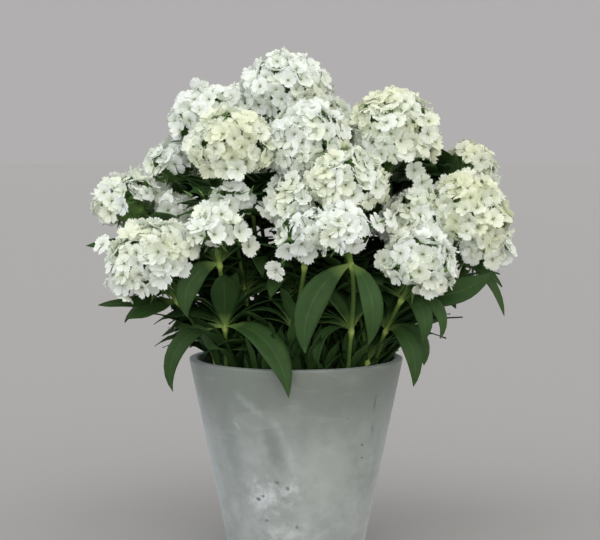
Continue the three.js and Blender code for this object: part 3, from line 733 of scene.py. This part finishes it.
# fine veins run nearly along the blade, about 1.5 mm apart
veins = node("ShaderNodeMath", {0: across, 1: 40.0}, operation="MULTIPLY")
vein_wave = node("ShaderNodeMath", {0: veins}, operation="SINE")
flecks = node("ShaderNodeTexNoise", {"Vector": here, "Scale": 90.0, "Detail": 4.0})
fleck_tone = node("ShaderNodeValToRGB", {"Fac": flecks}, stops=[(0.3, 0.38), (0.7, 0.62)])
flecked = node("ShaderNodeMix", {"Factor": 0.5, "A": ribbed, "B": fleck_tone}, data_type="RGBA",
               blend_type="OVERLAY")
# stems are yellow-green, and paler still at the swollen joints
is_stem = node("ShaderNodeMath", {0: part, 1: 1.5}, operation="GREATER_THAN")
joint = node("ShaderNodeMath", {0: part, 1: 2.0}, operation="SUBTRACT")
stem_tone = node("ShaderNodeValToRGB", {"Fac": joint},
                 stops=[(0.0, "#4f6a30"), (0.6, "#6f8a40"), (1.0, "#aec46a")])
green = node("ShaderNodeMix", {"Factor": is_stem, "A": flecked, "B": stem_tone}, data_type="RGBA")
leaf_bump = node("ShaderNodeBump", {"Height": vein_wave, "Strength": 0.12, "Distance": 0.0003})
shader = node("ShaderNodeBsdfPrincipled", {"Base Color": green, "Roughness": 0.6, "Specular IOR Level": 0.2,
              "Normal": leaf_bump})
node("ShaderNodeOutputMaterial", {"Surface": shader})

for number, plant in enumerate(HEADS + [SHOOT], 1):
    node_name = f"leafy_stem_{number:02d}" if plant[1] else "leafy_shoot_01"
    line = stem_line(plant)
    span = line[1][-1] - JOINT_LAST - plant[5]
    steps = max(1, int(span / JOINT_STEP + 0.5))
    places = [plant[5] + span * i / steps for i in range(steps + 1)]
    bases = [stem_point(line, place + AXIL)[0] for place in places]
    solid = nodes[node_name].data
    tips = KDTree(len(solid.vertices))
    for vertex in solid.vertices:
        tips.insert(vertex.co * 1000, vertex.index)
    tips.balance()
    points, faces, marks = [], [], []
    stem_tube(points, faces, marks, line, places, STEM_CUP if plant[1] else STEM_RADIUS)
    chance = draws(500 + number)
    for leaf in stem_leaves(number, plant, bases):
        base = bases[leaf["joint"]]
        for share, lift, turn in BENDS:
            bent = dict(leaf, way=leaf["way"] + turn, length=leaf["length"] * share, rise=leaf["rise"] + lift,
                        fall=leaf["fall"] + lift)
            if tips.find(leaf_arch(base, bent, 1)[0])[2] < TIP_MATCH:
                bent["tone"] = 0.15 + 0.55 * next(chance) + 0.25 * (leaf["joint"] / len(places))
                leaf_mesh(points, faces, marks, base, bent)
                break
    for base, leaf in young_leaves(number, bases):
        leaf_mesh(points, faces, marks, base, leaf, 8, NARROW_BLADE)
    stem = shown(form(node_name + "_grown", points, faces, leaf_green))
    mark_mesh(stem.data, marks)
    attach(stem, "root")
    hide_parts(node_name)


# The florets: each is a white salver of five fan-shaped petals with toothed edges, 22 mm across, on
# a narrow throat, with a speck of grey-lilac anther. They crowd over each head's dome.
FLORET_RADIUS = 10.4
FLORET_SPACING = 9.0
# heads whose middles are further apart than this don't press on each other
HEADS_MEET = 110
# rows of points from a petal's foot to its edge: distance from the throat, half its angle in radians
# and how many points it has
PETAL_ROWS = ((1.5, 0.62, 2), (4.6, 0.66, 3), (7.5, 0.66, 3), (FLORET_RADIUS, 0.66, 11))


def floret(name, cup, droop, seed):
    """The mesh of one floret, facing +Z, with its throat at the origin."""
    draw = draws(seed)
    points, faces, reach = [(0, 0, -2.6)], [], [0.0]
    for p in range(5):
        middle = p * tau / 5 + 0.12 * (next(draw) - 0.5)
        lean = 0.3 + 0.9 * next(draw)
        size = 0.92 + 0.14 * next(draw)
        bow = 2.4 * (next(draw) - 0.35)
        row_ends = []
        for radius, spread, count in PETAL_ROWS:
            row_ends.append(len(points))
            edge = radius == FLORET_RADIUS
            for c in range(count):
                u = 2 * c / (count - 1) - 1
                far = radius
                # the edge is rounded and cut into teeth
                if edge:
                    far -= 3.0 * u ** 4 + (0.5 + 1.6 * next(draw) if c % 2 else 0.4 * next(draw))
                share = far / FLORET_RADIUS
                height = 4 * cup * share ** 2 - 3 * droop * share ** 4 - 5 * max(0, 0.3 - share)
                height += (lean * u - bow * u * u) * share + (1.7 * (next(draw) - 0.5) if edge else 0)
                angle = middle + u * spread
                points.append((far * size * cos(angle), far * size * sin(angle), height))
                reach.append(0.9 * share)
        a, b, c, e = row_ends
        faces += [(0, a, a + 1), (a, b, b + 1), (a, b + 1, a + 1), (a + 1, b + 1, b + 2)]
        faces += [(b, c, c + 1, b + 1), (b + 1, c + 1, c + 2, b + 2)]
        faces += [(c, e, e + 1, e + 2, e + 3), (c, e + 3, e + 4, e + 5, c + 1),
                  (c + 1, e + 5, e + 6, e + 7, c + 2), (c + 2, e + 7, e + 8, e + 9, e + 10)]
    turn = next(draw) * 6
    x, y = 0.9 * cos(turn), 0.9 * sin(turn)
    start = len(points)
    points += [(x - 0.6, y, 0.2), (x + 0.5, y - 0.5, 0.2), (x + 0.2, y + 0.6, 0.2), (x, y, 1.9)]
    reach += [1.0] * 4
    faces += [(start, start + 1, start + 3), (start + 1, start + 2, start + 3), (start + 2, start, start + 3),
              (start, start + 2, start + 1)]
    mesh = form(name, points, faces, smooth=False)
    mark_mesh(mesh, [(r,) for r in reach], ("reach",))
    return mesh


# fresh petals are matt, thin and velvety; "reach" is 0 in the throat, 0.9 at the edge and 1 on an anther
petal_white, node = material("fresh_white_petal")
here = node("ShaderNodeTexCoord").outputs["Object"]
reach, cast = (node("ShaderNodeAttribute", attribute_name=mark).outputs["Fac"] for mark in ("reach", "cast"))
# green-grey throat, then clean white to the toothed edge, whose teeth are painted a little grey as the shade
# in the gaps between florets
petal_tone = node("ShaderNodeValToRGB", {"Fac": reach},
                  stops=[(0.0, "#94a07c"), (0.08, "#c3ccb0"), (0.19, "#eef2e7"), (0.45, "#fafdf9"),
                         (0.78, "#fdfffe"), (0.9, "#d3d8ca"), (0.97, "#7d8183")])
# each floret opens creamy and turns whiter, as "cast" tells, also in patches of about 60 mm
patch = node("ShaderNodeTexNoise", {"Vector": here, "Scale": 16.0, "Detail": 2.0})
age = node("ShaderNodeMath", {0: cast, 1: 0.55, 2: patch}, operation="MULTIPLY_ADD")
cast_tone = node("ShaderNodeValToRGB", {"Fac": age},
                 stops=[(0.35, "#f6f7de"), (0.62, "#fafced"), (0.85, "#fbfef9"), (1.0, "#fdfffd")])
petals = node("ShaderNodeMix", {"Factor": 1.0, "A": petal_tone, "B": cast_tone}, data_type="RGBA",
              blend_type="MULTIPLY")
# petal tissue is finely crinkled, about half a millimetre from ridge to ridge
crinkle = node("ShaderNodeTexNoise", {"Vector": here, "Scale": 1300.0, "Detail": 2.0})
crinkle_bump = node("ShaderNodeBump", {"Height": crinkle, "Strength": 0.25, "Distance": 0.0004})
face = node("ShaderNodeBsdfPrincipled", {"Base Color": petals, "Roughness": 0.6, "Specular IOR Level": 0.25,
            "Normal": crinkle_bump})
# a petal is thin enough to pass a fifth of the light that falls on its back
glow = node("ShaderNodeBsdfTranslucent", {"Color": petals})
shader = node("ShaderNodeMixShader", {0: 0.2, 1: face, 2: glow})
node("ShaderNodeOutputMaterial", {"Surface": shader})

# One tree sets flowers, calyces or bracts over a dome, at 0.8 to 1.07 of their size and each a little
# tilted, and the same seed puts them at the same spots.
over_dome, node, given = growing_tree("set_over_dome", {"Dome": "Geometry", "Pieces": "Collection",
                                "Spacing": "Float", "Tilt": "Float", "Lift": "Float",
                                "Whiteness": "Float", "Seed": "Int", "Finish": "Material"}, "Set")
spots = node("GeometryNodeDistributePointsOnFaces", {"Mesh": given["Dome"], "Distance Min": given["Spacing"],
             "Density Max": 150000.0, "Seed": given["Seed"]}, distribute_method="POISSON")
under = node("ShaderNodeMath", {0: given["Lift"], 1: -1.0}, operation="MULTIPLY")
rise = node("FunctionNodeRandomValue", {2: under, 3: given["Lift"], "Seed": 8}, data_type="FLOAT")
outward = node("ShaderNodeVectorMath", {0: spots.outputs["Normal"], "Scale": rise}, operation="SCALE")
lifted = node("GeometryNodeSetPosition", {"Geometry": spots, "Offset": outward})
back = node("ShaderNodeMath", {0: given["Tilt"], 1: -1.0}, operation="MULTIPLY")
low = node("ShaderNodeCombineXYZ", {"X": back, "Y": back})
high = node("ShaderNodeCombineXYZ", {"X": given["Tilt"], "Y": given["Tilt"], "Z": 6.28})
tilt = node("FunctionNodeRandomValue", {0: low, 1: high, "Seed": given["Seed"]}, data_type="FLOAT_VECTOR")
turned_by = node("FunctionNodeEulerToRotation", {"Euler": tilt})
turned_to = node("FunctionNodeRotateRotation", {"Rotation": spots.outputs["Rotation"],
                 "Rotate By": turned_by}, rotation_space="LOCAL")
size = node("FunctionNodeRandomValue", {2: 0.8, 3: 1.07, "Seed": 3}, data_type="FLOAT")
kinds = node("GeometryNodeCollectionInfo", {"Collection": given["Pieces"], "Separate Children": True,
             "Reset Children": True})
set_out = node("GeometryNodeInstanceOnPoints", {"Points": lifted, "Instance": kinds, "Pick Instance": True,
               "Rotation": turned_to, "Scale": size})
differs = node("FunctionNodeRandomValue", {2: -0.35, 3: 0.35, "Seed": 9}, data_type="FLOAT")
own_cast = node("ShaderNodeMath", {0: differs, 1: given["Whiteness"]}, operation="ADD")
told = node("GeometryNodeStoreNamedAttribute", {"Geometry": set_out, "Name": "cast", "Value": own_cast},
            data_type="FLOAT", domain="INSTANCE")
real = node("GeometryNodeRealizeInstances", {"Geometry": told})
coated = node("GeometryNodeSetMaterial", {"Geometry": real, "Material": given["Finish"]})
node("NodeGroupOutput", {"Set": coated})


def kept_aside(name, meshes):
    """A collection, away from the scene, of shapes to be set out."""
    group = bpy.data.collections.new(name)
    for mesh in meshes:
        group.objects.link(bpy.data.objects.new(mesh.name, mesh))
    return group


def dome(plant, size, spread, drop, squeeze, closed=False):
    """A mesh round a head's centre, pressed flat where it meets its neighbours'."""
    at, radius, lean, toward, _, _ = plant
    turn = Vector((0, 0, 1)).rotation_difference(way_of(lean, toward))
    rings, around = 14, 28
    points, faces = [], []
    for r in range(rings + 1):
        angle = radians(spread) * r / rings
        wide = sin(angle)
        for i in range(around if r else 1):
            way = tau * i / around
            point = Vector((wide * cos(way), wide * sin(way), cos(angle)))
            point.z *= HEAD_RISE if point.z > 0 else drop
            lump = 0.035 * wide * (sin(3 * way + at[0]) + sin(2 * way + 5 * angle + at[2]))
            point = turn @ (point * radius * size * (1 + lump))
            for other in HEADS:
                apart = Vector(other[0]) - Vector(at)
                if other is plant or apart.length > HEADS_MEET:
                    continue
                # the plane where the two heads' balls would meet, less the room between them
                plane = (apart.length ** 2 + radius ** 2 - other[1] ** 2) / (2 * apart.length) - squeeze
                over = point.dot(apart.normalized())
                if over > plane:
                    point *= plane / over
            points.append(point + Vector(at))
    for i in range(around):
        faces.append((0, 1 + i, 1 + (i + 1) % around))
    faces += tube_faces(1, around, rings, upward=False)
    if closed:
        faces.append(tuple(len(points) - 1 - i for i in range(around)))
    return form("dome", points, faces)


# each kind's cup, the droop of its petals' ends, and its seed
floret_kinds = kept_aside("florets", [floret(*kind) for kind in (
    ("floret_flat", 0.25, 0.1, 21), ("floret_cupped", 0.7, 0.0, 22), ("floret_waved", 0.35, 0.5, 23),
    ("floret_nodding", 0.1, 0.7, 24), ("floret_opening", 1.3, 0.0, 25))])
# the florets' dome: its size beside the head's, how far down it goes in degrees, how deep it is below
# its middle, and how far it keeps from its neighbours
FLORET_DOME = (0.925, 106, HEAD_DROP, 2.0)
FLORET_SET = {"Spacing": 0.001 * FLORET_SPACING, "Tilt": 0.62, "Lift": 0.0022}
# the heads that opened last are still creamy
CREAMY_HEADS = (3, 4, 6, 16, 17)
for number, plant in enumerate(HEADS, 1):
    head = grown(f"florets_{number:02d}", over_dome, dome(plant, *FLORET_DOME), **FLORET_SET,
                 Pieces=floret_kinds, Seed=39 + number, Finish=petal_white,
                 Whiteness=0.1 if number in CREAMY_HEADS else 0.65)
    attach(head, "root")
    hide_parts(f"flower_head_{number:02d}")


# Here and there a side branch grows past its head and carries a floret of its own: the head that it
# grows from and the floret's place, in millimetres.
SIDE_FLORETS = [
    (8, (-17, -96, 259)), (8, (9, -100, 274)), (9, (68, -94, 299)), (9, (80, -86, 302)), (12, (73, -94, 268)),
    (11, (-39, -86, 279)), (10, (-165, -62, 279)), (10, (-88, -84, 277)), (10, (-100, -88, 267)),
    (4, (103, -26, 341)), (4, (110, -26, 330)), (16, (152, -44, 268)), (16, (170, -40, 264)),
    (15, (-116, -14, 292)),
]


def joined(name, parts, finish):
    """One object made of copies of shapes, each moved by its own matrix."""
    whole = bmesh.new()
    for shape, place in parts:
        copy = shape.copy()
        copy.transform(place)
        whole.from_mesh(copy)
        bpy.data.meshes.remove(copy)
    mesh = bpy.data.meshes.new(name)
    whole.to_mesh(mesh)
    whole.free()
    mesh.materials.append(finish)
    return shown(mesh)


def standing(place, way):
    """The matrix that moves a shape to a place and turns its upright axis to a way."""
    return Matrix.Translation(Vector(place) * 0.001) @ way.to_track_quat("Z", "Y").to_matrix().to_4x4()


# each floret faces out from its head and forward
side_places = []
for number, place in SIDE_FLORETS:
    out = (Vector(place) - Vector(HEADS[number - 1][0])).normalized()
    side_places.append(standing(place, out + Vector((0, -1.0, 0.3))))

shapes = [kind.data for kind in floret_kinds.objects]
side_parts = [(shapes[k % 4], place) for k, place in enumerate(side_places)]
side_florets = joined("side_florets", side_parts, petal_white)
mark_mesh(side_florets.data, [(0.5,)] * len(side_florets.data.vertices), ("cast",))
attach(side_florets, "root")


# The young tufts: leafy side growth that comes up through the compost between the stems and fills
# the mouth of the pot. Each tuft is a few joints of narrow leaves.
TUFT_SPACING = 13.0
TUFT_LEAVES = 9
MOUTH_RADIUS = 62


def tuft(name, seed):
    """The mesh of a tuft of young leaves that stands up from the origin."""
    draw = draws(seed)
    points, faces, marks = [], [], []
    for k in range(TUFT_LEAVES):
        size = next(draw)
        leaf = dict(way=137.5 * k + 30 * next(draw), rise=84 - 2.5 * k - 8 * next(draw),
                    fall=66 - 6 * k * next(draw), length=36 + 28 * size, width=9 + 8 * size,
                    roll=30 * (next(draw) - 0.5), tone=0.2 + 0.6 * next(draw))
        leaf_mesh(points, faces, marks, Vector((0, 0, 3 * (TUFT_LEAVES - 1 - k))), leaf, 7, NARROW_BLADE)
    mesh = form(name, points, faces)
    mark_mesh(mesh, marks)
    return mesh


tufts = kept_aside("tufts", [tuft("tuft_a", 31), tuft("tuft_b", 32), tuft("tuft_c", 33)])
mouth_rings = [(MOUTH_RADIUS * (1 - k / 8), COMPOST_TOP + 2) for k in range(9)]
young_tufts = grown("young_tufts", over_dome, turned("mouth", mouth_rings, 40, leaf_green), Pieces=tufts,
                    Spacing=0.001 * TUFT_SPACING, Tilt=0.2, Lift=0.0, Seed=12, Finish=leaf_green)
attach(young_tufts, "root")


# Round the sides and the back of the rim, long leaves of the outermost shoots stand up inside the wall
# and arch out over it.
EDGE_LEAVES = 90
points, faces, marks = [], [], []
draw = draws(61)
for k in range(EDGE_LEAVES):
    around = -35 + 250 * k / EDGE_LEAVES + 8 * next(draw)
    start = way_of(90, around) * (60 + 14 * next(draw)) + Vector((0, 0, COMPOST_TOP + 1))
    leaf = dict(way=around + 90 * (next(draw) - 0.5), rise=78 + 9 * next(draw), fall=-40 + 80 * next(draw),
                length=56 + 52 * next(draw), width=13 + 8 * next(draw), roll=50 * (next(draw) - 0.5),
                tone=0.1 + 0.6 * next(draw))
    arch = [leaf_arch(start, leaf, share)[0] for share in (0.2, 0.35, 0.5, 0.75, 1)]
    # it has to pass over the rim, not through the wall
    if all((p.z > POT_HEIGHT + 7 or hypot(p.x, p.y) < POT_RIM - POT_WALL - 6)
           and clear_of_heads(p, 2) for p in arch):
        leaf_mesh(points, faces, marks, start, leaf, 8, NARROW_BLADE)
edge_leaves = shown(form("edge_leaves", points, faces, leaf_green))
mark_mesh(edge_leaves.data, marks)
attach(edge_leaves, "root")


# Under the florets: ribbed green calyx tubes that hold them, and needle bracts between, on the
# short branches that crowd the top of each stem.
BRACT_DOME = (0.5, 172, 1.1, 6.0)
CORE_DOME = (0.52, 178, 1.1, 6.0)
BRACT_SPACING = 5
LARGE_HEAD = 30
calyx_rings = [circle(radius, height, 6) for radius, height in ((2.3, -0.6), (1.9, -6), (1.4, -15))]
calyx = form("calyx", sum(calyx_rings, []), tube_faces(0, 6, 3, upward=False))


def bract(name, length, bend):
    """The mesh of a narrow pointed bract that stands off the head's core."""
    points = []
    for share, half in ((0, 1.2), (0.4, 1.4), (0.75, 0.8), (1, 0.05)):
        x = bend * share * share * length
        z = length * share
        points += [(x, -half, z), (x + 0.5 * (1 - share), 0, z), (x, half, z), (x - 0.5 * (1 - share), 0, z)]
    return form(name, points, tube_faces(0, 4, 4))


# calyx and bract skin is smooth and yellow-green, with paler patches of about 8 mm
calyx_green, node = material("ribbed_green_calyx")
here = node("ShaderNodeTexCoord").outputs["Object"]
patch = node("ShaderNodeTexNoise", {"Vector": here, "Scale": 120.0, "Detail": 3.0})
calyx_tone = node("ShaderNodeValToRGB", {"Fac": patch},
                  stops=[(0.3, "#3c5a2b"), (0.55, "#5b7d3c"), (0.75, "#86a35c")])
shader = node("ShaderNodeBsdfPrincipled", {"Base Color": calyx_tone, "Roughness": 0.55})
node("ShaderNodeOutputMaterial", {"Surface": shader})

side_stalks = [(calyx, place) for place in side_places]
for number, place in SIDE_FLORETS:
    inner, outer = Vector(HEADS[number - 1][0]), Vector(place)
    along = outer - inner
    stalk = bmesh.new()
    bmesh.ops.create_cone(stalk, segments=6, radius1=0.0012, radius2=0.0009, depth=0.001 * along.length * 0.9)
    stalk_mesh = bpy.data.meshes.new("side_stalk")
    stalk.to_mesh(stalk_mesh)
    stalk.free()
    side_stalks.append((stalk_mesh, standing(inner + along * 0.45, along)))
side_branches = joined("side_branches", side_stalks, calyx_green)
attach(side_branches, "root")

calyces = kept_aside("calyces", [calyx])
long_bracts = kept_aside("long_bracts", [bract("bract_long", 17, 0.15), bract("bract_mid", 14, 0.3)])
short_bracts = kept_aside("short_bracts", [bract("bract_short", 11, 0.15), bract("bract_tiny", 9, 0.3)])
for number, plant in enumerate(HEADS, 1):
    tubes = grown(f"calyces_{number:02d}", over_dome, dome(plant, *FLORET_DOME), **FLORET_SET,
                  Pieces=calyces, Seed=39 + number, Finish=calyx_green)
    needles = grown(f"bracts_{number:02d}", over_dome, dome(plant, *BRACT_DOME),
                    Pieces=long_bracts if plant[1] > LARGE_HEAD else short_bracts,
                    Spacing=0.001 * BRACT_SPACING, Tilt=0.5, Lift=0.0, Seed=89 + number, Finish=calyx_green)
    core = shown(dome(plant, *CORE_DOME, closed=True), f"branches_{number:02d}")
    core.data.materials.append(calyx_green)
    for made in (tubes, needles, core):
        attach(made, "root")
